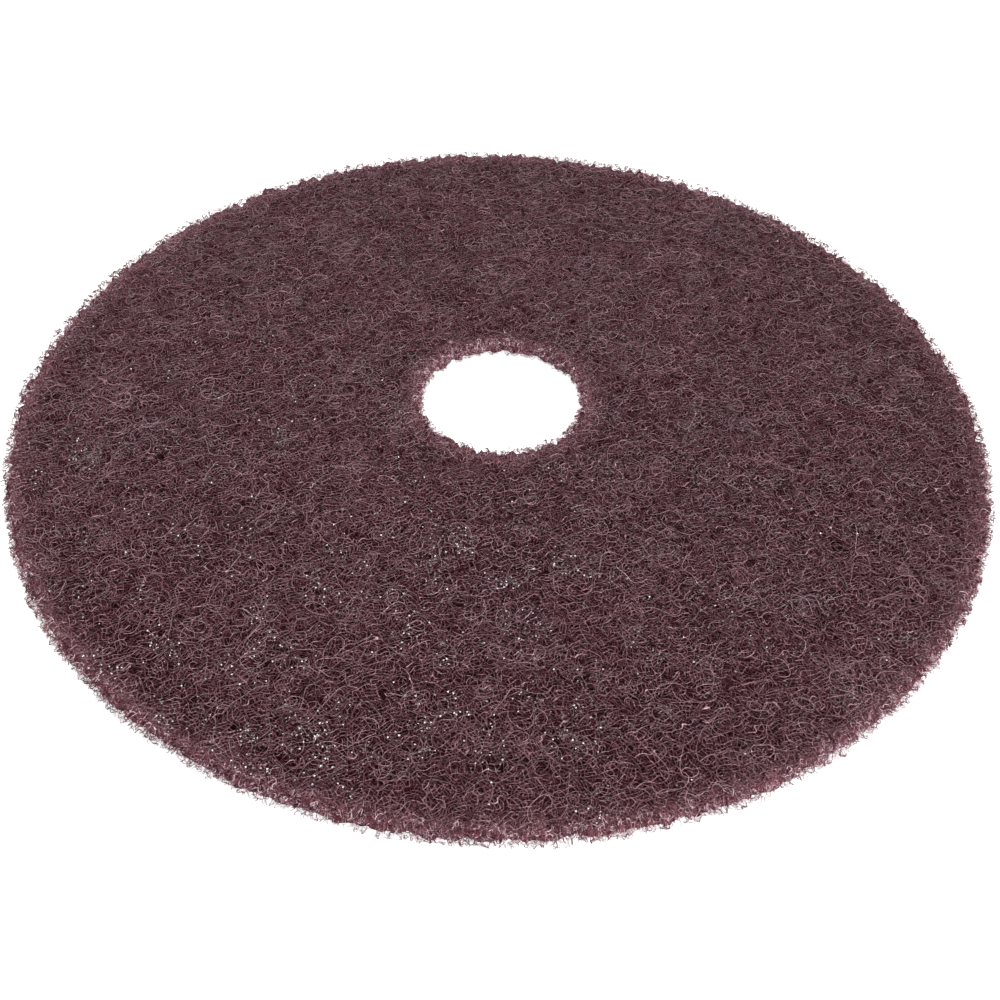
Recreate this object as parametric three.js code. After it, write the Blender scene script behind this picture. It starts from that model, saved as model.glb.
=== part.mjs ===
// Round floor polishing pad: one disc of non-woven fibre web with a centre hole for the machine's hub.
// Millimetres, +Z up. The origin is the centre of the face that lies on the floor.
import * as THREE from "three";

// Driving dimensions
const PAD_DIAMETER = 508;
const HOLE_DIAMETER = 89;
const PAD_THICKNESS = 10;
const EDGE_ROUNDING = 1.8; // radius to which the die-cut edges have softened
const HOLLOW_DEPTH = 1.4; // how far the web sinks between its clumps
const CLUMP_SPACING = 29; // from one clump of fibre to the next
const FLAT_SHARE = 0.45; // share of the web's range that lies level with its outer surface

// How finely the surface is divided
const STEPS_AROUND = 120;
const STEPS_ACROSS = 18;
const STEPS_PER_CORNER = 2;
const STEPS_PER_HALF_WALL = 1;

const HALF_TURN = Math.PI;
const QUARTER_TURN = Math.PI / 2;

// A wave so tall and uneven that its last digits look random from one lattice corner to the next
const WAVE_HEIGHT = 43758.5453;
const WAVE_STEPS = new THREE.Vector3(127.1, 311.7, 74.7);

const padRadius = PAD_DIAMETER / 2;
const holeRadius = HOLE_DIAMETER / 2;
const middleHeight = PAD_THICKNESS / 2;

// Points from one place to another in a straight line, without the first.
function straight([r0, z0], [r1, z1], steps) {
  return Array.from({ length: steps }, (_, i) => {
    const share = (i + 1) / steps;
    return new THREE.Vector2(r0 + (r1 - r0) * share, z0 + (z1 - z0) * share);
  });
}

// Points of a quarter circle that starts at an angle, without the first.
function roundedCorner([r, z], startAngle) {
  return Array.from({ length: STEPS_PER_CORNER }, (_, i) => {
    const angle = startAngle + (QUARTER_TURN * (i + 1)) / STEPS_PER_CORNER;
    return new THREE.Vector2(
      r + EDGE_ROUNDING * Math.cos(angle),
      z + EDGE_ROUNDING * Math.sin(angle),
    );
  });
}

// The ring's section as radius and height. It starts and ends halfway up the wall of the hole.
function ringSection() {
  const bottom = EDGE_ROUNDING;
  const top = PAD_THICKNESS - EDGE_ROUNDING;
  const inner = holeRadius + EDGE_ROUNDING;
  const outer = padRadius - EDGE_ROUNDING;
  return [
    new THREE.Vector2(holeRadius, middleHeight),
    ...straight([holeRadius, middleHeight], [holeRadius, bottom], STEPS_PER_HALF_WALL),
    ...roundedCorner([inner, bottom], HALF_TURN),
    ...straight([inner, 0], [outer, 0], STEPS_ACROSS),
    ...roundedCorner([outer, bottom], -QUARTER_TURN),
    ...straight([padRadius, bottom], [padRadius, middleHeight], STEPS_PER_HALF_WALL),
    ...straight([padRadius, middleHeight], [padRadius, top], STEPS_PER_HALF_WALL),
    ...roundedCorner([outer, top], 0),
    ...straight([outer, PAD_THICKNESS], [inner, PAD_THICKNESS], STEPS_ACROSS),
    ...roundedCorner([inner, top], QUARTER_TURN),
    ...straight([holeRadius, top], [holeRadius, middleHeight], STEPS_PER_HALF_WALL),
  ];
}

// A repeatable number from 0 to 1 for each corner of a lattice: the last digits of a large wave.
function latticeValue(place) {
  const wave = WAVE_HEIGHT * Math.sin(place.dot(WAVE_STEPS));
  return wave - Math.floor(wave);
}

// How loosely the fibres lie at a point, from 0 to 1, blended between the lattice's corners.
function looseness(point) {
  const cell = point.clone().divideScalar(CLUMP_SPACING);
  const base = cell.clone().floor();
  const share = cell.sub(base);
  const blend = [share.x, share.y, share.z].map((s) => s * s * (3 - 2 * s));
  const cellCorners = [0, 1].flatMap((x) => [0, 1].flatMap((y) => [0, 1].map((z) => [x, y, z])));
  return cellCorners.reduce((total, step) => {
    const weight = step.reduce((w, s, axis) => w * (s ? blend[axis] : 1 - blend[axis]), 1);
    return total + weight * latticeValue(new THREE.Vector3(...step).add(base));
  }, 0);
}

// Sinks the loose places of both faces into the web. The cut walls stay true to the die.
function sinkHollows(geometry) {
  const positions = geometry.getAttribute("position");
  const normals = geometry.getAttribute("normal");
  const point = new THREE.Vector3();
  for (let i = 0; i < positions.count; i += 1) {
    point.fromBufferAttribute(positions, i);
    const hollow = Math.max(0, looseness(point) - FLAT_SHARE) / (1 - FLAT_SHARE);
    positions.setZ(i, point.z - HOLLOW_DEPTH * hollow * normals.getZ(i));
  }
  geometry.computeVertexNormals();
}

// The pad itself
function makePad() {
  const geometry = new THREE.LatheGeometry(ringSection(), STEPS_AROUND);
  geometry.rotateX(QUARTER_TURN);
  sinkHollows(geometry);
  const fibreWeb = new THREE.MeshStandardMaterial({
    color: 0x5c3d42,
    roughness: 0.9,
    metalness: 0,
  });
  const mesh = new THREE.Mesh(geometry, fibreWeb);
  mesh.name = "pad";
  return mesh;
}

const floorPad = new THREE.Group();
floorPad.add(makePad());

export default floorPad;
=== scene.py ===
import math

import bpy
import numpy as np
from mathutils import Matrix, Vector
from mathutils.bvhtree import BVHTree


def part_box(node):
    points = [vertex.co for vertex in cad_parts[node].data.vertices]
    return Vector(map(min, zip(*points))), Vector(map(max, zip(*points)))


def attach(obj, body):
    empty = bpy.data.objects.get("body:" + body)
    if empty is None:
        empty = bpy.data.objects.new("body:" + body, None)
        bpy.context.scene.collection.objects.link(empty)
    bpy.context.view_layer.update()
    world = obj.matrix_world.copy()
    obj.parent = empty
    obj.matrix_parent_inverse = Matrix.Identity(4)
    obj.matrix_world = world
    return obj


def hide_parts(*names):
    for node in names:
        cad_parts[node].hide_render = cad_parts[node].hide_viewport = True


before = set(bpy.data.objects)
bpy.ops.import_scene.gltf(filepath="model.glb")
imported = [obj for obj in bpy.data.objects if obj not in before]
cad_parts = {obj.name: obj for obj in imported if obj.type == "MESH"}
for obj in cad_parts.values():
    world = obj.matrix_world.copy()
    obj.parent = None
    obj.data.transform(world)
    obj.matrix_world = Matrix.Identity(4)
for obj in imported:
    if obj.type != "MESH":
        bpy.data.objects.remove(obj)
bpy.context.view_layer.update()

# Dresses the solid of a round floor pad as an open web of crimped, resin-coated fibres.
# Metres, +Z up, in the solid's own frame. Every random draw is seeded.

MM = 0.001
WHOLE_TURN = 2 * math.pi

# The solid's own sizes
PAD_NODE = "pad"
low_corner, high_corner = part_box(PAD_NODE)
pad_radius = (high_corner.x - low_corner.x) / 2
pad_thickness = high_corner.z - low_corner.z
pad_points = np.array([v.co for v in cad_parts[PAD_NODE].data.vertices])
hole_radius = float(np.hypot(pad_points[:, 0], pad_points[:, 1]).min())
EDGE_ROUNDING = 1.8 * MM

# How the solid's faces are read
CAD_PITCH = 3 * MM
RAY_START = 50 * MM

# Tufts that stand out of the cut walls, and the slant of each kind along x and y
TUFT_REACH = 1.5 * MM
LARGE_TUFTS = {"spacing": 5.5 * MM, "seed": 41, "share": 0.7, "slant": (1.1, -0.9)}
SMALL_TUFTS = {"spacing": 2.8 * MM, "seed": 42, "share": 0.8, "slant": (-1.3, 1.7)}

# Every strand
TUBE_SIDES = 3
TIP_SHARE = 0.45  # a tip's radius as a share of the strand's
OFF_AXIS = (0.31, 0.17, 0.93)  # a direction that hardly any strand starts along
WIDTH_SPREAD = 0.22

# Strands that lie along a face
FACE_STEPS = 12
CURL = (0.3, 1.3)  # from the loosest to the tightest, as a share of the layer's tightness
CURL_DRIFT = 0.7
CURL_PACE = (0.4, 1.1)
SWELL_PACE = (0.5, 1.4)
CLEARANCE = 1.2  # radii that a strand stays below the face's outer level
CUT_SPREAD = 1.0 * MM
# Strands near the cuts are coloured paler as painted light.
PALE_REACH = 8 * MM
EDGE_PAINTED_LIGHT_TONE = 0.6
DENSITY_SPACING = 34 * MM
DENSITY_SEED = 11
DENSITY_SPREAD = 0.2
FACE_LAYERS = [
    {
        "name": "strands_deep",
        "look": "strand_deep_painted_shade",
        "strands": {
            "seed": 21, "count": 900, "step": 2.3 * MM, "tightness": 240,
            "depth": (0.8 * MM, 1.6 * MM), "swell": 0.5 * MM, "radius": 0.11 * MM,
        },
    },
    {
        "name": "strands_mid",
        "look": "strand_mid_painted_shade",
        "strands": {
            "seed": 22, "count": 1900, "step": 2.2 * MM, "tightness": 240,
            "depth": (0.6 * MM, 1.4 * MM), "swell": 0.8 * MM, "radius": 0.082 * MM,
        },
    },
    {
        "name": "strands_top",
        "look": "strand_top_painted_light",
        "strands": {
            "seed": 23, "count": 2600, "step": 2.2 * MM, "tightness": 230,
            "depth": (0.4 * MM, 1.2 * MM), "swell": 0.9 * MM, "radius": 0.072 * MM,
        },
    },
    {
        "name": "strands_under",
        "look": "strand_mid_painted_shade",
        "strands": {
            "seed": 24, "count": 450, "step": 2.8 * MM, "tightness": 200,
            "depth": (0.3 * MM, 1.2 * MM), "swell": 0.45 * MM, "radius": 0.17 * MM,
            "upper": False,
        },
    },
]

# Short strands in the cut walls. A depth below 0 stands out of the cut, a span is in thicknesses.
WALL_STEPS = 4
UPRIGHT = 0.8
BEND_RANGE = (0.6, 1.4)
DEPTH_POWER = 1.5
EDGE_RETREAT = 0.5
WALL_LAYERS = [
    {
        "name": "strands_rim",
        "look": "strand_cut_and_painted_light",
        "strands": [
            {"seed": 25, "count": 6600, "step": 1.1 * MM, "turn": 0.9, "lean": 0.8,
             "depth": (-0.8 * MM, 3.2 * MM), "radius": 0.15 * MM, "span": (0.0, 1.08)},
        ],
    },
    {
        "name": "strands_hole",
        "look": "strand_cut_and_painted_light",
        "strands": [
            {"seed": 26, "count": 1300, "step": 1.1 * MM, "turn": 0.9, "lean": 0.8,
             "depth": (-1.1 * MM, 2.2 * MM), "radius": 0.18 * MM, "span": (0.0, 1.05),
             "in_hole": True},
        ],
    },
    {
        "name": "strands_lace",
        "look": "strand_lace_painted_shade",
        "strands": [
            {"seed": 28, "count": 3200, "step": 0.9 * MM, "turn": 1.0, "lean": 1.0,
             "depth": (-0.8 * MM, 3.0 * MM), "radius": 0.18 * MM, "span": (0.7, 1.14)},
            {"seed": 30, "count": 1500, "step": 0.9 * MM, "turn": 1.0, "lean": 1.0,
             "depth": (-1.4 * MM, 1.0 * MM), "radius": 0.15 * MM, "span": (0.0, 0.5)},
            {"seed": 29, "count": 500, "step": 0.9 * MM, "turn": 1.0, "lean": 1.0,
             "depth": (-1.3 * MM, 2.2 * MM), "radius": 0.18 * MM, "span": (0.6, 1.1),
             "in_hole": True},
        ],
    },
]

# Colours of the strands. The top, middle and deep layers are one fibre coloured lighter to darker:
# painted light on top and painted shade below. A blend says which part of the random tones runs
# from dark to light.
FIBRE_LOOKS = {
    # painted light: the top strands are coloured lighter than the same fibre lower down
    "strand_top_painted_light": {
        "dark": (0.24, 0.10, 0.12), "light": (0.90, 0.60, 0.645),
        "roughness": 0.32, "specular": 0.5,
    },
    # painted shade: the middle and underside strands are coloured darker than the top ones
    "strand_mid_painted_shade": {
        "dark": (0.10, 0.03, 0.038), "light": (0.44, 0.23, 0.255),
        "roughness": 0.45, "specular": 0.25,
    },
    # painted shade: the deepest strands are coloured darker than the same fibre on top
    "strand_deep_painted_shade": {
        "dark": (0.07, 0.016, 0.023), "light": (0.26, 0.11, 0.13),
        "roughness": 0.55, "specular": 0.1,
    },
    # cut strands: partly the cut's own paler colour and partly painted light from the floor and
    # through the web
    "strand_cut_and_painted_light": {
        "dark": (0.26, 0.045, 0.064), "light": (1.0, 0.74, 0.79),
        "roughness": 0.5, "specular": 0.1, "blend": (0.15, 0.5),
    },
    # lace strands: painted shade, the backlit edge strands coloured darker than the cut strands
    "strand_lace_painted_shade": {
        "dark": (0.08, 0.012, 0.02), "light": (0.40, 0.14, 0.17),
        "roughness": 0.5, "specular": 0.05,
    },
}
GLOSS_SPREAD = 0.12
PATCH_SCALE = 26
PATCH_TONES = [(0.38, (1, 1, 1)), (0.66, (0.93, 0.96, 1.0))]
SPECK_SCALE = 1300
SPECK_TONES = [(0.34, (0.45, 0.42, 0.42)), (0.66, (1.5, 1.5, 1.5))]

# The core's shape
CORE_SINK = 2.0 * MM
CORE_LIFT = 0.9 * MM
CORE_LUMPS = 0.45 * MM
UNDERSIDE_LUMPS = 0.6  # as a share of the lumps on top
RIM_INSETS = (1.8 * MM, 1.5 * MM, 2.0 * MM)  # at the wall's top, middle and foot
HOLE_INSETS = (0.8 * MM, 0.6 * MM, 0.1 * MM)
SHOULDER_SHARE = 0.5
RAGGED_REACH = 2.2 * MM
RAGGED_LIFT = 0.7 * MM
RAGGED_FADE = 7 * MM
RAGGED_FROM = 0.6  # share of the way up above which the core's edge is ragged
SWAY = 1.3
SWAY_FADE = 4 * MM
CORE_AROUND = 1100
CORE_TOP_RINGS = 34
CORE_BOTTOM_RINGS = 12
CORE_EDGE_RINGS = (1.2 * MM, 2.6 * MM, 4.4 * MM)
CORE_WALL_RINGS = 7

# How far the colour of the cut shows on the core. This pink is partly the paler colour of the cut
# fibres and partly painted light: light from the floor and through the thin web near the edges is
# painted on the walls and on the faces near the cuts, and the hole's walls get less of it as
# painted shade.
CUT_REACH = 2.4 * MM
CUT_FADE = 7 * MM
FACE_EDGE_PAINTED_LIGHT = 0.6
SHOULDER_TONE_LOSS = 0.6
HOLE_PAINTED_SHADE = 0.85
CUT_WASH = 0.5
CUT_DEEP = (0.21, 0.05, 0.068)
CUT_PINK_AND_PAINTED_LIGHT = (1.0, 0.64, 0.70)

# Strands painted on the core, from the deepest layer to the nearest. The deeper layers and the gaps
# between them are coloured darker as painted shade.
BEND_SCALE = 140
BEND_SCALE_STEP = 0.32  # for each degree of heading
BEND_REACH = 6 * MM
WALL_LEAN = 0.8
LAYER_SHIFT = 0.05  # for each degree of heading
SHIFT_DIRECTION = (1, 0.37, 0.61)
LINE_HOP = (0.031, 0.017, 0.023)
GATE_SCALE = 210
GATE_OPENS = (0.42, 0.56)
# near-black gaps: painted shade between the strands
CORE_GAP_PAINTED_SHADE = (0.003, 0.0005, 0.001)
CORE_LAYERS = [
    {"heading": 10, "spacing": 0.85 * MM, "width": 0.23 * MM, "colour": (0.014, 0.002, 0.003)},
    {"heading": 104, "spacing": 0.80 * MM, "width": 0.21 * MM, "colour": (0.030, 0.005, 0.008)},
    {"heading": 57, "spacing": 0.95 * MM, "width": 0.20 * MM, "colour": (0.046, 0.010, 0.014)},
    {"heading": 148, "spacing": 1.00 * MM, "width": 0.18 * MM, "colour": (0.088, 0.026, 0.033)},
    {"heading": 32, "spacing": 1.25 * MM, "width": 0.17 * MM, "colour": (0.126, 0.043, 0.053)},
    {"heading": 125, "spacing": 1.35 * MM, "width": 0.16 * MM, "colour": (0.180, 0.070, 0.083)},
    {"heading": 80, "spacing": 1.50 * MM, "width": 0.15 * MM, "colour": (0.285, 0.130, 0.148)},
    {"heading": 170, "spacing": 1.60 * MM, "width": 0.15 * MM, "colour": (0.440, 0.230, 0.254)},
    {"heading": 45, "spacing": 1.80 * MM, "width": 0.14 * MM, "colour": (0.620, 0.360, 0.392)},
    {"heading": 113, "spacing": 2.05 * MM, "width": 0.14 * MM, "colour": (0.860, 0.560, 0.600)},
]
FIRST_RAISED_LAYER = 6

# Grit
GRAINS = 14000
GRAIN_CLUSTERS = 1300
CLUSTER_SPREAD = 4.0 * MM
GRAIN_SIZE = (0.2, 0.62)  # mm
GRAIN_SINK = (-0.5, 0.2)  # mm below the face, less than 0 above it
GRAIN_TILT = math.radians(7.5)
GRAIN_MARGIN = 1 * MM
GRAIN_NOISE_SCALE = 900
GRAIN_TONES = [(0.35, (0.07, 0.04, 0.045)), (0.65, (0.2, 0.16, 0.165))]
GRAIN_GLOSS = (0.08, 0.32)
GRAIN_IOR = 1.77

# Stage
FLOOR_RADIUS = 4.0
FLOOR_GREY = 0.8
FLOOR_GLOW = 0.85
WORLD_STRENGTH = 0.18
LAMP_SIZE = 0.8
LAMPS = [("softbox", (1.0, -1.1, 0.72), 15.0), ("glint", (-0.3, 0.1, 1.2), 10.0)]

# Camera, as worked out from the outlines of the pad and of its hole
CAMERA_AIM = Vector((0.00099, -0.0702, 0))
CAMERA_DISTANCE = 0.5453
CAMERA_ELEVATION = math.radians(46.51)
CAMERA_ROLL = math.radians(1.92)
CAMERA_LENS_MM = 39.19
CAMERA_SENSOR_MM = 36


# Fields over the plan

def read_grid(values, pitch, x, y, ease):
    """Blends between the corners of a square grid of values that is centred on the axis."""
    cells = len(values)
    u = np.clip(x / pitch + cells / 2, 0, cells - 1.001)
    v = np.clip(y / pitch + cells / 2, 0, cells - 1.001)
    i, j = np.floor(u).astype(int), np.floor(v).astype(int)
    s, t = u - i, v - j
    if ease:
        s, t = s * s * (3 - 2 * s), t * t * (3 - 2 * t)
    near = values[i, j] * (1 - t) + values[i, j + 1] * t
    far = values[i + 1, j] * (1 - t) + values[i + 1, j + 1] * t
    return near * (1 - s) + far * s


def lump_field(spacing, seed):
    """A smooth random value from -1 to 1 over the plan, in lumps of about that spacing."""
    cells = int(3 * pad_radius / spacing) + 4
    values = np.random.default_rng(seed).uniform(-1, 1, (cells, cells))
    return lambda x, y: read_grid(values, spacing, x, y, ease=True)


def sampled_face(downward):
    """How far the solid's top or bottom face sinks below its outermost level, over the plan."""
    tree = BVHTree.FromObject(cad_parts[PAD_NODE], bpy.context.evaluated_depsgraph_get())
    cells = int(2 * pad_radius / CAD_PITCH) + 3
    direction = Vector((0, 0, -1 if downward else 1))
    level = high_corner.z if downward else low_corner.z
    start_z = level - RAY_START * direction.z
    depth = np.zeros((cells, cells))
    for i in range(cells):
        for j in range(cells):
            x, y = (i - cells / 2) * CAD_PITCH, (j - cells / 2) * CAD_PITCH
            hit = tree.ray_cast(Vector((x, y, start_z)), direction)[0]
            inside = hole_radius + EDGE_ROUNDING < math.hypot(x, y) < pad_radius - EDGE_ROUNDING
            if hit and inside:
                depth[i, j] = abs(hit.z - level)
    return lambda x, y: read_grid(depth, CAD_PITCH, x, y, ease=False)


top_hollows = sampled_face(downward=True)
bottom_hollows = sampled_face(downward=False)
large_tufts = lump_field(LARGE_TUFTS["spacing"], LARGE_TUFTS["seed"])
small_tufts = lump_field(SMALL_TUFTS["spacing"], SMALL_TUFTS["seed"])


def distance_to_cut(radius):
    return np.minimum(pad_radius - radius, radius - hole_radius)


def edge_drop(radius):
    """How far the softened edges fall below the faces at a distance from the axis."""
    short = np.clip(EDGE_ROUNDING - distance_to_cut(radius), 0, EDGE_ROUNDING)
    return EDGE_ROUNDING - np.sqrt(EDGE_ROUNDING**2 - short**2)


def top_height(x, y):
    return high_corner.z - top_hollows(x, y) - edge_drop(np.hypot(x, y))


def bottom_height(x, y):
    return low_corner.z + bottom_hollows(x, y) + edge_drop(np.hypot(x, y))


def slanted(field, tuft, x, y, z):
    """A field over the plan, drawn up the wall at the tuft's slant and scaled to its share."""
    return tuft["share"] * field(x + tuft["slant"][0] * z, y + tuft["slant"][1] * z)


def cut_bulge(x, y, z):
    """How far the tufts of the uneven cut stand out at a place on either wall."""
    return TUFT_REACH * (
        slanted(large_tufts, LARGE_TUFTS, x, y, z) + slanted(small_tufts, SMALL_TUFTS, x, y, z)
    )


# Mesh building

def add_mesh(name, points, faces, material, smooth=True, tones=None):
    """A mesh object from an array of points and a list of arrays of faces, each of one size."""
    mesh = bpy.data.meshes.new(name)
    sizes = np.concatenate([np.full(len(f), f.shape[1]) for f in faces])
    corners = np.concatenate([f.ravel() for f in faces])
    mesh.vertices.add(len(points))
    mesh.vertices.foreach_set("co", points.astype(np.float32).ravel())
    mesh.loops.add(len(corners))
    mesh.loops.foreach_set("vertex_index", corners.astype(np.int32))
    mesh.polygons.add(len(sizes))
    starts = np.concatenate([[0], np.cumsum(sizes)[:-1]])
    mesh.polygons.foreach_set("loop_start", starts.astype(np.int32))
    mesh.polygons.foreach_set("use_smooth", np.full(len(sizes), smooth))
    if tones is not None:
        attribute = mesh.attributes.new("tone", "FLOAT", "POINT")
        attribute.data.foreach_set("value", tones.astype(np.float32))
    mesh.update(calc_edges=True)
    mesh.validate()
    mesh.materials.append(material)
    piece = bpy.data.objects.new(name, mesh)
    bpy.context.scene.collection.objects.link(piece)
    return piece


def unit(vectors):
    return vectors / np.maximum(np.linalg.norm(vectors, axis=-1, keepdims=True), 1e-12)


def tube_points(paths, radii):
    """The corners of tubes along paths (fibre, point, axis), as (fibre, point, side, axis)."""
    tangents = unit(np.gradient(paths, axis=1))
    across = unit(np.cross(tangents[:, 0], OFF_AXIS))
    sides = [across]
    for k in range(1, paths.shape[1]):
        along = tangents[:, k]
        across = unit(across - along * (across * along).sum(-1, keepdims=True))
        sides.append(across)
    sides = np.stack(sides, axis=1)
    ups = np.cross(sides, tangents)
    taper = np.ones(paths.shape[1])
    taper[[0, -1]] = TIP_SHARE
    reach = (radii[:, None] * taper)[:, :, None]
    angles = WHOLE_TURN * np.arange(TUBE_SIDES) / TUBE_SIDES
    corners = [paths + reach * (np.cos(a) * sides + np.sin(a) * ups) for a in angles]
    return np.stack(corners, axis=2)


def tube_faces(fibres, points, first):
    """The walls and end caps of tubes whose corners are numbered from first."""
    index = first + np.arange(fibres * points * TUBE_SIDES).reshape(fibres, points, TUBE_SIDES)
    here, ahead = index[:, :-1], index[:, 1:]
    walls = np.stack(
        [here, ahead, np.roll(ahead, -1, axis=2), np.roll(here, -1, axis=2)], axis=-1
    ).reshape(-1, 4)
    caps = np.concatenate([index[:, 0], index[:, -1, ::-1]])
    return walls, caps


def add_fibres(name, batches, material):
    """One piece of many closed tubes. A batch is (paths, radii, tones), with one length of path."""
    points, walls, caps, tones = [], [], [], []
    first = 0
    for paths, radii, batch_tones in batches:
        fibres, count = paths.shape[:2]
        if not fibres:
            continue
        corners = tube_points(paths, radii).reshape(-1, 3)
        wall, cap = tube_faces(fibres, count, first)
        points.append(corners)
        walls.append(wall)
        caps.append(cap)
        tones.append(np.repeat(batch_tones, count * TUBE_SIDES))
        first += len(corners)
    faces = [np.concatenate(walls), np.concatenate(caps)]
    return add_mesh(name, np.concatenate(points), faces, material, tones=np.concatenate(tones))


# Fibre paths

def grow(rng, count, step, tightness):
    """Plan paths that start at the origin, keep turning one way and let their turning drift."""
    way = rng.choice([-1.0, 1.0], (count, 1)) * rng.uniform(*CURL, (count, 1))
    phase = rng.uniform(0, WHOLE_TURN, (count, 1))
    pace = rng.uniform(*CURL_PACE, (count, 1))
    turning = tightness * (way + CURL_DRIFT * np.sin(phase + pace * np.arange(FACE_STEPS)))
    start = rng.uniform(0, WHOLE_TURN, count)[:, None]
    heading = start + np.cumsum(turning * step, axis=1)
    moves = step * np.stack([np.cos(heading), np.sin(heading)], axis=-1)
    return np.concatenate([np.zeros((count, 1, 2)), np.cumsum(moves, axis=1)], axis=1)


def ring_starts(rng, count, density):
    """Random places in the ring, denser where the density field is high."""
    places = np.zeros((0, 2))
    while len(places) < count:
        radius = np.sqrt(rng.uniform(hole_radius**2, pad_radius**2, 2 * count))
        angle = rng.uniform(0, WHOLE_TURN, 2 * count)
        tries = np.stack([radius * np.cos(angle), radius * np.sin(angle)], axis=-1)
        chance = 1 - DENSITY_SPREAD + DENSITY_SPREAD * density(tries[:, 0], tries[:, 1])
        keep = rng.uniform(0, 1, len(tries)) < chance
        places = np.concatenate([places, tries[keep]])
    return places[:count]


def cut_to_ring(rng, plan):
    """Cuts paths where the die cut them, and groups them by the points that are left."""
    radius = np.linalg.norm(plan, axis=-1)
    outer = pad_radius + rng.normal(0, CUT_SPREAD, len(plan))
    inner = hole_radius - rng.normal(0, CUT_SPREAD, len(plan))
    outside = (radius > outer[:, None]) | (radius < inner[:, None])
    left = np.where(outside.any(axis=1), outside.argmax(axis=1), plan.shape[1])
    rows = np.arange(len(plan))
    cut = (left > 1) & (left < plan.shape[1])
    ends, lasts = left[cut], left[cut] - 1
    before, after = radius[rows[cut], lasts], radius[rows[cut], ends]
    limit = np.where(after > outer[cut], outer[cut], inner[cut])
    share = ((limit - before) / (after - before))[:, None]
    crossing = plan[rows[cut], lasts] * (1 - share) + plan[rows[cut], ends] * share
    plan[rows[cut], ends] = crossing
    left[cut] += 1
    return [(np.flatnonzero(left == n), n) for n in range(3, plan.shape[1] + 1)]


def painted_light_near_cuts(plan):
    """What a strand's tone gains where its middle lies near a cut: painted light, as from the floor
    and through the thin web at the edges.
    """
    middle_radius = np.linalg.norm(plan[:, FACE_STEPS // 2], axis=-1)
    return EDGE_PAINTED_LIGHT_TONE * np.clip(1 - distance_to_cut(middle_radius) / PALE_REACH, 0, 1)


def face_fibres(density, seed, count, step, tightness, depth, swell, radius, upper=True):
    """Batches of fibres that lie along a face, at depths below it that rise and fall."""
    rng = np.random.default_rng(seed)
    plan = grow(rng, count, step, tightness)
    middle = rng.integers(0, FACE_STEPS, count)
    plan = plan - plan[np.arange(count), middle][:, None]
    plan = plan + ring_starts(rng, count, density)[:, None]
    groups = cut_to_ring(rng, plan)
    widths = radius * np.exp(rng.normal(0, WIDTH_SPREAD, count))
    # a random tone, plus painted light near the cuts
    tones = np.minimum(rng.uniform(0, 1, count) + painted_light_near_cuts(plan), 1)
    base = rng.uniform(*depth, count)
    phase = rng.uniform(0, WHOLE_TURN, count)
    pace = rng.uniform(*SWELL_PACE, count)
    height, inward = (top_height, -1) if upper else (bottom_height, 1)
    batches = []
    for members, n in groups:
        flat = plan[members, :n]
        rise = swell * np.sin(phase[members, None] + pace[members, None] * np.arange(n))
        below = np.maximum(base[members, None] + rise, CLEARANCE * widths[members, None])
        z = height(flat[..., 0], flat[..., 1]) + inward * below
        batches.append((np.dstack([flat, z]), widths[members], tones[members]))
    return batches


def curls(rng, count, step, turn, lean):
    """Short curls about the origin, each bent evenly: along the wall, into it and upward."""
    heading = unit(rng.normal(0, 1, (count, 3)) * [1, lean, UPRIGHT])
    axis = unit(np.cross(heading, rng.normal(0, 1, (count, 3))))
    angle = turn * rng.uniform(*BEND_RANGE, (count, 1))
    moves = [heading]
    for _ in range(WALL_STEPS - 1):
        heading = np.cos(angle) * heading + np.sin(angle) * np.cross(axis, heading)
        moves.append(heading)
    moves = step * np.stack(moves, axis=1)
    path = np.concatenate([np.zeros((count, 1, 3)), np.cumsum(moves, axis=1)], axis=1)
    return path - path.mean(axis=1, keepdims=True)


def wall_fibres(seed, count, step, turn, lean, depth, radius, span, in_hole=False):
    """One batch of short cut strands in the wall of the rim or of the hole."""
    wall_radius, inward = (hole_radius, -1) if in_hole else (pad_radius, 1)
    rng = np.random.default_rng(seed)
    widths = radius * np.exp(rng.normal(0, WIDTH_SPREAD, count))
    path = curls(rng, count, step, turn, lean)
    around = rng.uniform(0, WHOLE_TURN, count)[:, None] + path[..., 0] / wall_radius
    deep = depth[0] + (depth[1] - depth[0]) * rng.uniform(0, 1, count) ** DEPTH_POWER
    r = wall_radius - inward * (deep[:, None] + path[..., 1])
    lowest = low_corner.z + 1.1 * widths[:, None]
    highest = low_corner.z + span[1] * pad_thickness
    middle = low_corner.z + pad_thickness * rng.uniform(*span, (count, 1))
    z = np.clip(middle + path[..., 2], lowest, highest)
    near_edge = np.clip(EDGE_ROUNDING - np.minimum(z - lowest, highest - z), 0, None)
    r = r - inward * EDGE_RETREAT * near_edge
    r = r + inward * cut_bulge(r * np.cos(around), r * np.sin(around), z)
    paths = np.dstack([r * np.cos(around), r * np.sin(around), z])
    return paths, widths, rng.uniform(0, 1, count)


# Shader building

def new_material(name):
    material = bpy.data.materials.new(name)
    material.use_nodes = True
    tree = material.node_tree
    return material, tree.nodes, tree.links, tree.nodes["Principled BSDF"]


def feed(links, socket, value):
    """Sets a socket to a number or a colour, or links it to another node's output."""
    if isinstance(value, (int, float)):
        socket.default_value = value
    elif isinstance(value, tuple):
        socket.default_value = (*value, 1)
    else:
        links.new(value, socket)


def noise_value(nodes, links, coordinates, scale, detail):
    noise = nodes.new("ShaderNodeTexNoise")
    noise.inputs["Scale"].default_value = scale
    noise.inputs["Detail"].default_value = detail
    noise.inputs["Roughness"].default_value = 0.5
    links.new(coordinates, noise.inputs["Vector"])
    return noise.outputs["Fac"]


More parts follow.
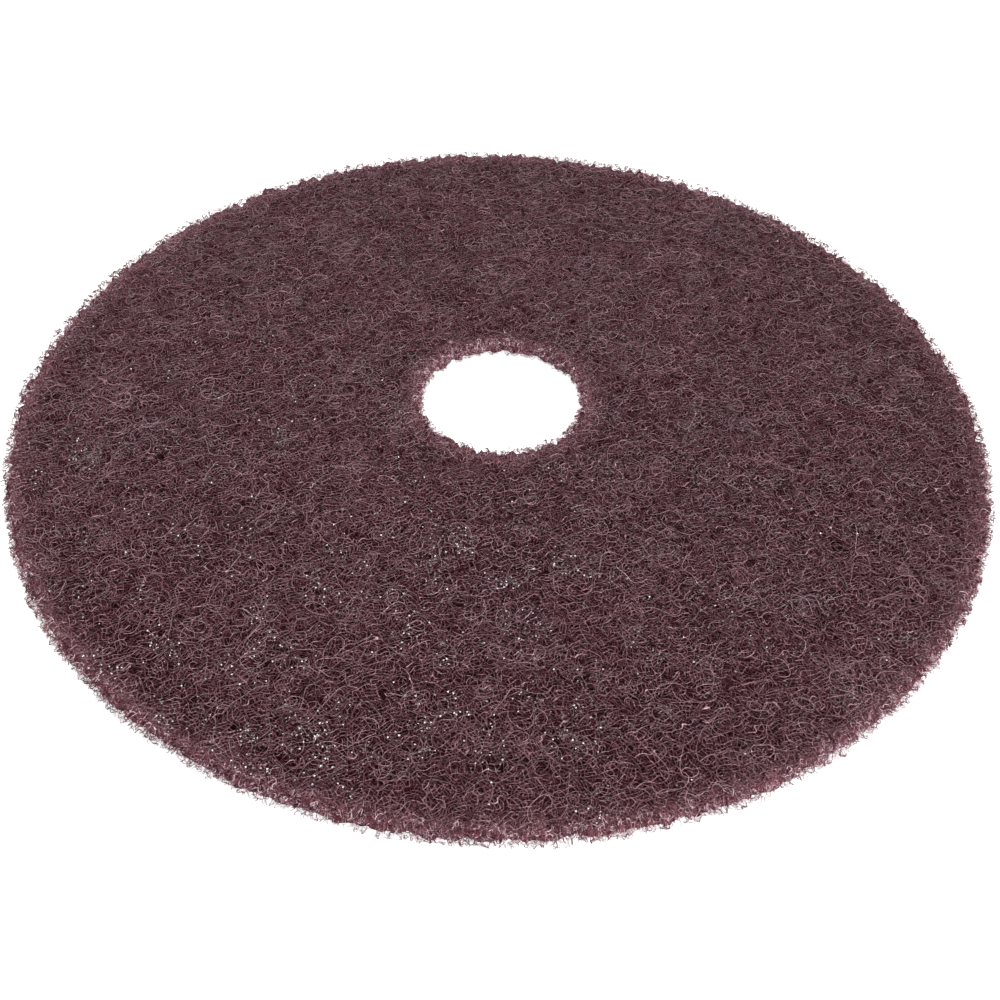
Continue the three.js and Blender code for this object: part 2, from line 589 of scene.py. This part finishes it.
def ramp_colour(nodes, links, value, stops):
    ramp = nodes.new("ShaderNodeValToRGB")
    elements = ramp.color_ramp.elements
    while len(elements) < len(stops):
        elements.new(0.5)
    for element, (place, colour) in zip(elements, stops):
        element.position = place
        element.color = (*colour, 1)
    links.new(value, ramp.inputs["Fac"])
    return ramp.outputs["Color"]


def mix_colours(nodes, links, factor, first, second, blend="MIX"):
    mix = nodes.new("ShaderNodeMix")
    mix.data_type = "RGBA"
    mix.blend_type = blend
    colour_a = [s for s in mix.inputs if s.name == "A" and s.type == "RGBA"][0]
    colour_b = [s for s in mix.inputs if s.name == "B" and s.type == "RGBA"][0]
    for socket, value in ((mix.inputs[0], factor), (colour_a, first), (colour_b, second)):
        feed(links, socket, value)
    return [s for s in mix.outputs if s.type == "RGBA"][0]


def math_value(nodes, links, operation, first, second=0.0):
    node = nodes.new("ShaderNodeMath")
    node.operation = operation
    for socket, value in zip(node.inputs, (first, second)):
        feed(links, socket, value)
    return node.outputs["Value"]


def map_value(nodes, links, value, source, target, smooth=False):
    """A value carried from one range to another, and held at both ends."""
    node = nodes.new("ShaderNodeMapRange")
    if smooth:
        node.interpolation_type = "SMOOTHSTEP"
    node.inputs["From Min"].default_value, node.inputs["From Max"].default_value = source
    node.inputs["To Min"].default_value, node.inputs["To Max"].default_value = target
    links.new(value, node.inputs["Value"])
    return node.outputs["Result"]


def vector_node(nodes, links, operation, first, second):
    node = nodes.new("ShaderNodeVectorMath")
    node.operation = operation
    links.new(first, node.inputs[0])
    node.inputs[1].default_value = second
    return node


def own_place(nodes):
    return nodes.new("ShaderNodeTexCoord").outputs["Object"]


def own_tone(nodes):
    """The tone that the mesh carries at each point."""
    tone = nodes.new("ShaderNodeAttribute")
    tone.attribute_name = "tone"
    return tone.outputs["Fac"]


def dyed(nodes, links, place, colour):
    """The colour with patches of greyer web."""
    patch = noise_value(nodes, links, place, PATCH_SCALE, detail=3)
    dye = ramp_colour(nodes, links, patch, PATCH_TONES)
    return mix_colours(nodes, links, 1.0, colour, dye, "MULTIPLY")


def specked(nodes, links, speck, colour):
    """The colour with small dark and light specks of resin."""
    tones = ramp_colour(nodes, links, speck, SPECK_TONES)
    return mix_colours(nodes, links, 1.0, colour, tones, "MULTIPLY")


def add_bump(nodes, links, shader, height, strength, distance):
    bump = nodes.new("ShaderNodeBump")
    bump.inputs["Strength"].default_value = strength
    bump.inputs["Distance"].default_value = distance
    links.new(height, bump.inputs["Height"])
    links.new(bump.outputs["Normal"], shader.inputs["Normal"])


# Materials

def fibre_material(name, dark, light, roughness, specular, blend=(0.0, 1.0)):
    """Resin-coated fibre: each strand has its own tone, in patches of greyer and redder web."""
    material, nodes, links, shader = new_material(name)
    place = own_place(nodes)
    strand = ramp_colour(nodes, links, own_tone(nodes), list(zip(blend, (dark, light))))
    speck = noise_value(nodes, links, place, SPECK_SCALE, detail=1)
    coloured = specked(nodes, links, speck, dyed(nodes, links, place, strand))
    links.new(coloured, shader.inputs["Base Color"])
    gloss_range = (roughness - GLOSS_SPREAD, roughness + GLOSS_SPREAD)
    gloss = map_value(nodes, links, speck, (0, 1), gloss_range)
    links.new(gloss, shader.inputs["Roughness"])
    shader.inputs["Specular IOR Level"].default_value = specular
    add_bump(nodes, links, shader, speck, strength=0.4, distance=0.1 * MM)
    return material


def strand_mask(nodes, links, place, layer):
    """1 on thin, long, winding lines that end here and there, as one layer of strands."""
    heading = math.radians(layer["heading"])
    direction = (math.cos(heading), math.sin(heading), WALL_LEAN * math.cos(3 * heading))
    shift = tuple(LAYER_SHIFT * layer["heading"] * part for part in SHIFT_DIRECTION)
    moved = vector_node(nodes, links, "ADD", place, shift).outputs["Vector"]
    along = vector_node(nodes, links, "DOT_PRODUCT", place, direction).outputs["Value"]
    bend_scale = BEND_SCALE + BEND_SCALE_STEP * layer["heading"]
    bend = noise_value(nodes, links, moved, bend_scale, detail=0)
    bent = math_value(nodes, links, "MULTIPLY", bend, BEND_REACH)
    bent = math_value(nodes, links, "ADD", bent, along)
    turns = math_value(nodes, links, "MULTIPLY", bent, 1 / layer["spacing"])
    between = math_value(nodes, links, "FRACT", turns)
    line = math_value(nodes, links, "FLOOR", turns)
    away = math_value(nodes, links, "SUBTRACT", between, 0.5)
    away = math_value(nodes, links, "ABSOLUTE", away)
    width = layer["width"] / layer["spacing"]
    mask = map_value(nodes, links, away, (0, width), (1, 0), smooth=True)
    hop = vector_node(nodes, links, "MULTIPLY_ADD", line, LINE_HOP)
    links.new(moved, hop.inputs[2])
    gate = noise_value(nodes, links, hop.outputs["Vector"], GATE_SCALE, detail=0)
    open_share = map_value(nodes, links, gate, GATE_OPENS, (0, 1))
    return math_value(nodes, links, "MULTIPLY", mask, open_share)


def core_material():
    """The web below its loose surface strands: near-black gaps of painted shade crossed by many
    thin maroon strands, coloured darker the deeper they lie as painted shade.
    """
    material, nodes, links, shader = new_material("fibre_core")
    place = own_place(nodes)
    colour, height, relief = CORE_GAP_PAINTED_SHADE, 0.0, 0.0
    for level, layer in enumerate(CORE_LAYERS):
        mask = strand_mask(nodes, links, place, layer)
        colour = mix_colours(nodes, links, mask, colour, layer["colour"])
        raised = math_value(nodes, links, "MULTIPLY", mask, (level + 1) / len(CORE_LAYERS))
        height = math_value(nodes, links, "MAXIMUM", raised, height)
        if level >= FIRST_RAISED_LAYER:
            relief = math_value(nodes, links, "MAXIMUM", raised, relief)
    # The cut's pink, partly the cut's own colour and partly painted light, also on the raised
    # strands near the cuts.
    cut = own_tone(nodes)
    wash = math_value(nodes, links, "MULTIPLY", cut, CUT_WASH)
    pink_and_painted_light = math_value(nodes, links, "MULTIPLY", cut, height)
    coloured = mix_colours(nodes, links, wash, dyed(nodes, links, place, colour), CUT_DEEP)
    coloured = mix_colours(nodes, links, pink_and_painted_light, coloured, CUT_PINK_AND_PAINTED_LIGHT)
    speck = noise_value(nodes, links, place, SPECK_SCALE, detail=1)
    links.new(specked(nodes, links, speck, coloured), shader.inputs["Base Color"])
    shader.inputs["Roughness"].default_value = 0.9
    shader.inputs["Specular IOR Level"].default_value = 0.02
    add_bump(nodes, links, shader, relief, strength=0.7, distance=0.5 * MM)
    return material


def grain_material():
    """Grit set in clear resin: small facets, some glossier than others."""
    material, nodes, links, shader = new_material("resin_grit")
    noise = noise_value(nodes, links, own_place(nodes), GRAIN_NOISE_SCALE, detail=1)
    links.new(ramp_colour(nodes, links, noise, GRAIN_TONES), shader.inputs["Base Color"])
    noise_range = (GRAIN_TONES[0][0], GRAIN_TONES[-1][0])
    gloss = map_value(nodes, links, noise, noise_range, GRAIN_GLOSS)
    links.new(gloss, shader.inputs["Roughness"])
    shader.inputs["IOR"].default_value = GRAIN_IOR
    shader.inputs["Specular IOR Level"].default_value = 1.0
    return material


# Pieces

def wall_inset(insets, down):
    """How far the core's wall lies inside the cut, at a share of the way down from its top."""
    top, middle, foot = insets
    shoulder_part = (top - middle) * max(0.0, 1 - down / SHOULDER_SHARE) ** 2
    return middle + shoulder_part + (foot - middle) * down**3


def core_section():
    """The core's section: radius and share of the way up, from the hole's top edge outward."""
    shares = np.linspace(0, 1, CORE_WALL_RINGS + 2)[1:-1]
    top_in, top_out = hole_radius + HOLE_INSETS[0], pad_radius - RIM_INSETS[0]
    low_in, low_out = hole_radius + HOLE_INSETS[2], pad_radius - RIM_INSETS[2]
    rings = [*np.linspace(top_in, top_out, CORE_TOP_RINGS)]
    rings += [top_in + step for step in CORE_EDGE_RINGS]
    rings += [top_out - step for step in CORE_EDGE_RINGS]
    stations = [(r, 1.0) for r in sorted(rings)]
    for share in shares:
        stations.append((pad_radius - wall_inset(RIM_INSETS, share), 1 - share))
    stations += [(r, 0.0) for r in np.linspace(low_out, low_in, CORE_BOTTOM_RINGS)]
    for share in shares[::-1]:
        stations.append((hole_radius + wall_inset(HOLE_INSETS, share), 1 - share))
    return np.array(stations)


def near_cut(room, fade):
    """1 up to CUT_REACH from the nearer cut, and from there down to 0 over a length."""
    return np.clip(1 - (room - CUT_REACH) / fade, 0, 1)


def core_height(x, y, share, room):
    """The core's height over the plan, at a share of the way up and with ragged upper edges."""
    coarse, fine = lump_field(11 * MM, 31), lump_field(4.5 * MM, 32)
    rough = CORE_LUMPS * coarse(x, y) + CORE_LUMPS * fine(x, y)
    top = top_height(x, y) - CORE_SINK + rough
    bottom = bottom_height(x, y) + CORE_LIFT + UNDERSIDE_LUMPS * rough
    ragged = RAGGED_REACH * small_tufts(1.2 * x, 1.2 * y) + RAGGED_LIFT
    level = bottom + (top - bottom) * share
    return level + ragged * (share > RAGGED_FROM) * near_cut(room, RAGGED_FADE)


def cut_pink_and_painted_light(share, room, on_wall, outward):
    """How much of the cut's pink each place of the core shows, from 0 to 1: partly the cut's own
    paler colour and partly painted light, and less in the hole as painted shade.
    """
    shoulder = np.clip(room / CUT_REACH, 0, 1) ** 2
    wall_tone = 1 - SHOULDER_TONE_LOSS * shoulder * (share > 0.5)
    tone = np.where(on_wall, wall_tone, FACE_EDGE_PAINTED_LIGHT * near_cut(room, CUT_FADE))
    # less pink in the hole: painted shade
    return tone * np.where(outward > 0, 1.0, HOLE_PAINTED_SHADE)


def make_core():
    """The closed body of web below the loose strands."""
    section = core_section()
    angles = (np.arange(CORE_AROUND) * WHOLE_TURN / CORE_AROUND)[:, None]
    radius = np.repeat(section[None, :, 0], CORE_AROUND, axis=0)
    share = np.repeat(section[None, :, 1], CORE_AROUND, axis=0)
    room = distance_to_cut(radius)
    x, y = radius * np.cos(angles), radius * np.sin(angles)
    z = core_height(x, y, share, room)
    outward = np.where(radius > (pad_radius + hole_radius) / 2, 1.0, -1.0)
    on_wall = (share > 0) & (share < 1)
    sway = SWAY * outward * cut_bulge(x, y, z) * np.where(on_wall, 1.0, near_cut(room, SWAY_FADE))
    x, y = x + sway * np.cos(angles), y + sway * np.sin(angles)
    points = np.dstack([x, y, z]).reshape(-1, 3)
    here = np.arange(len(points)).reshape(CORE_AROUND, len(section))
    ahead = np.roll(here, -1, axis=0)
    faces = np.stack(
        [here, np.roll(here, -1, axis=1), np.roll(ahead, -1, axis=1), ahead], axis=-1
    ).reshape(-1, 4)
    tones = cut_pink_and_painted_light(share, room, on_wall, outward)
    return add_mesh("web_core", points, [faces], core_material(), tones=tones.ravel())


def make_grains():
    """Small tapered chips of grit in clusters on the top face, each with a level, glossy crown."""
    rng = np.random.default_rng(71)
    centres = ring_starts(rng, GRAIN_CLUSTERS, lump_field(40 * MM, 72))
    plan = centres[rng.integers(0, GRAIN_CLUSTERS, GRAINS)]
    plan = plan + rng.normal(0, CLUSTER_SPREAD, (GRAINS, 2))
    plan = plan[distance_to_cut(np.linalg.norm(plan, axis=-1)) > GRAIN_MARGIN]
    count = len(plan)
    x, y = plan.T
    size = rng.uniform(*GRAIN_SIZE, count) * MM
    turn = rng.uniform(0, WHOLE_TURN, count)
    tilt_x, tilt_y = rng.normal(0, GRAIN_TILT, (2, count))
    z = top_height(x, y) - rng.uniform(*GRAIN_SINK, count) * MM
    corners = []
    for k in range(3):
        angle = turn + k * WHOLE_TURN / 3
        dx, dy = size * np.cos(angle), size * np.sin(angle)
        corners.append(np.stack([x + dx, y + dy, z + dx * tilt_x + dy * tilt_y], axis=-1))
    corners.append(np.stack([x, y, z - size], axis=-1))
    points = np.stack(corners, axis=1).reshape(-1, 3)
    first = 4 * np.arange(count)[:, None]
    faces = np.concatenate([first + f for f in ([0, 1, 2], [1, 0, 3], [2, 1, 3], [0, 2, 3])])
    return add_mesh("grit", points, [faces], grain_material(), smooth=False)


def make_web():
    """The core, every layer of strands on it, and the grit."""
    looks = {name: fibre_material(name, **look) for name, look in FIBRE_LOOKS.items()}
    density = lump_field(DENSITY_SPACING, DENSITY_SEED)
    core = make_core()
    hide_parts(PAD_NODE)
    pieces = [core]
    for layer in FACE_LAYERS:
        batches = face_fibres(density, **layer["strands"])
        pieces.append(add_fibres(layer["name"], batches, looks[layer["look"]]))
    for layer in WALL_LAYERS:
        batches = [wall_fibres(**strands) for strands in layer["strands"]]
        pieces.append(add_fibres(layer["name"], batches, looks[layer["look"]]))
    pieces.append(make_grains())
    for piece in pieces:
        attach(piece, "root")


# Stage

def seen_plainly(nodes, links):
    """1 where the camera, a reflection or a view through something sees the surface."""
    path = nodes.new("ShaderNodeLightPath")
    seen = path.outputs["Is Camera Ray"]
    for kind in ("Is Glossy Ray", "Is Transmission Ray"):
        seen = math_value(nodes, links, "MAXIMUM", seen, path.outputs[kind])
    return seen


def make_floor():
    """A pale floor that looks white to the camera and still takes the pad's shadow."""
    mesh = bpy.data.meshes.new("floor")
    corners = [(-1, -1, 0), (1, -1, 0), (1, 1, 0), (-1, 1, 0)]
    mesh.from_pydata([tuple(FLOOR_RADIUS * c for c in p) for p in corners], [], [(0, 1, 2, 3)])
    material, nodes, links, shader = new_material("pale_floor")
    shader.inputs["Base Color"].default_value = (FLOOR_GREY, FLOOR_GREY, FLOOR_GREY, 1)
    shader.inputs["Roughness"].default_value = 0.9
    shader.inputs["Specular IOR Level"].default_value = 0.1
    glow = math_value(nodes, links, "MULTIPLY", seen_plainly(nodes, links), FLOOR_GLOW)
    shader.inputs["Emission Color"].default_value = (1, 1, 1, 1)
    links.new(glow, shader.inputs["Emission Strength"])
    mesh.materials.append(material)
    floor = bpy.data.objects.new("floor", mesh)
    bpy.context.scene.collection.objects.link(floor)


def make_world():
    """Soft white light all round, and plain white where the camera or a reflection sees it."""
    world = bpy.data.worlds.new("studio")
    world.use_nodes = True
    nodes, links = world.node_tree.nodes, world.node_tree.links
    background = nodes["Background"]
    background.inputs["Color"].default_value = (1, 1, 1, 1)
    seen = seen_plainly(nodes, links)
    strength = map_value(nodes, links, seen, (0, 1), (WORLD_STRENGTH, 1))
    links.new(strength, background.inputs["Strength"])
    bpy.context.scene.world = world


def add_lamp(name, place, watts):
    """A round soft lamp that points at the pad's centre."""
    light = bpy.data.lights.new(name, "AREA")
    light.shape = "DISK"
    light.size = LAMP_SIZE
    light.energy = watts
    lamp = bpy.data.objects.new(name, light)
    facing = (-Vector(place)).to_track_quat("-Z", "Y")
    lamp.matrix_world = Matrix.Translation(place) @ facing.to_matrix().to_4x4()
    bpy.context.scene.collection.objects.link(lamp)


def make_camera():
    data = bpy.data.cameras.new("camera")
    data.lens = CAMERA_LENS_MM
    data.sensor_width = CAMERA_SENSOR_MM
    data.clip_start = 0.01
    camera = bpy.data.objects.new("camera", data)
    away = Vector((0, -math.cos(CAMERA_ELEVATION), math.sin(CAMERA_ELEVATION)))
    camera.matrix_world = (
        Matrix.Translation(CAMERA_AIM + CAMERA_DISTANCE * away)
        @ Matrix.Rotation(math.pi / 2 - CAMERA_ELEVATION, 4, "X")
        @ Matrix.Rotation(CAMERA_ROLL, 4, "Z")
    )
    bpy.context.scene.collection.objects.link(camera)
    bpy.context.scene.camera = camera


make_camera()
make_web()
make_floor()
make_world()
for lamp_name, lamp_place, lamp_watts in LAMPS:
    add_lamp(lamp_name, lamp_place, lamp_watts)
bpy.context.scene.view_settings.view_transform = "Standard"
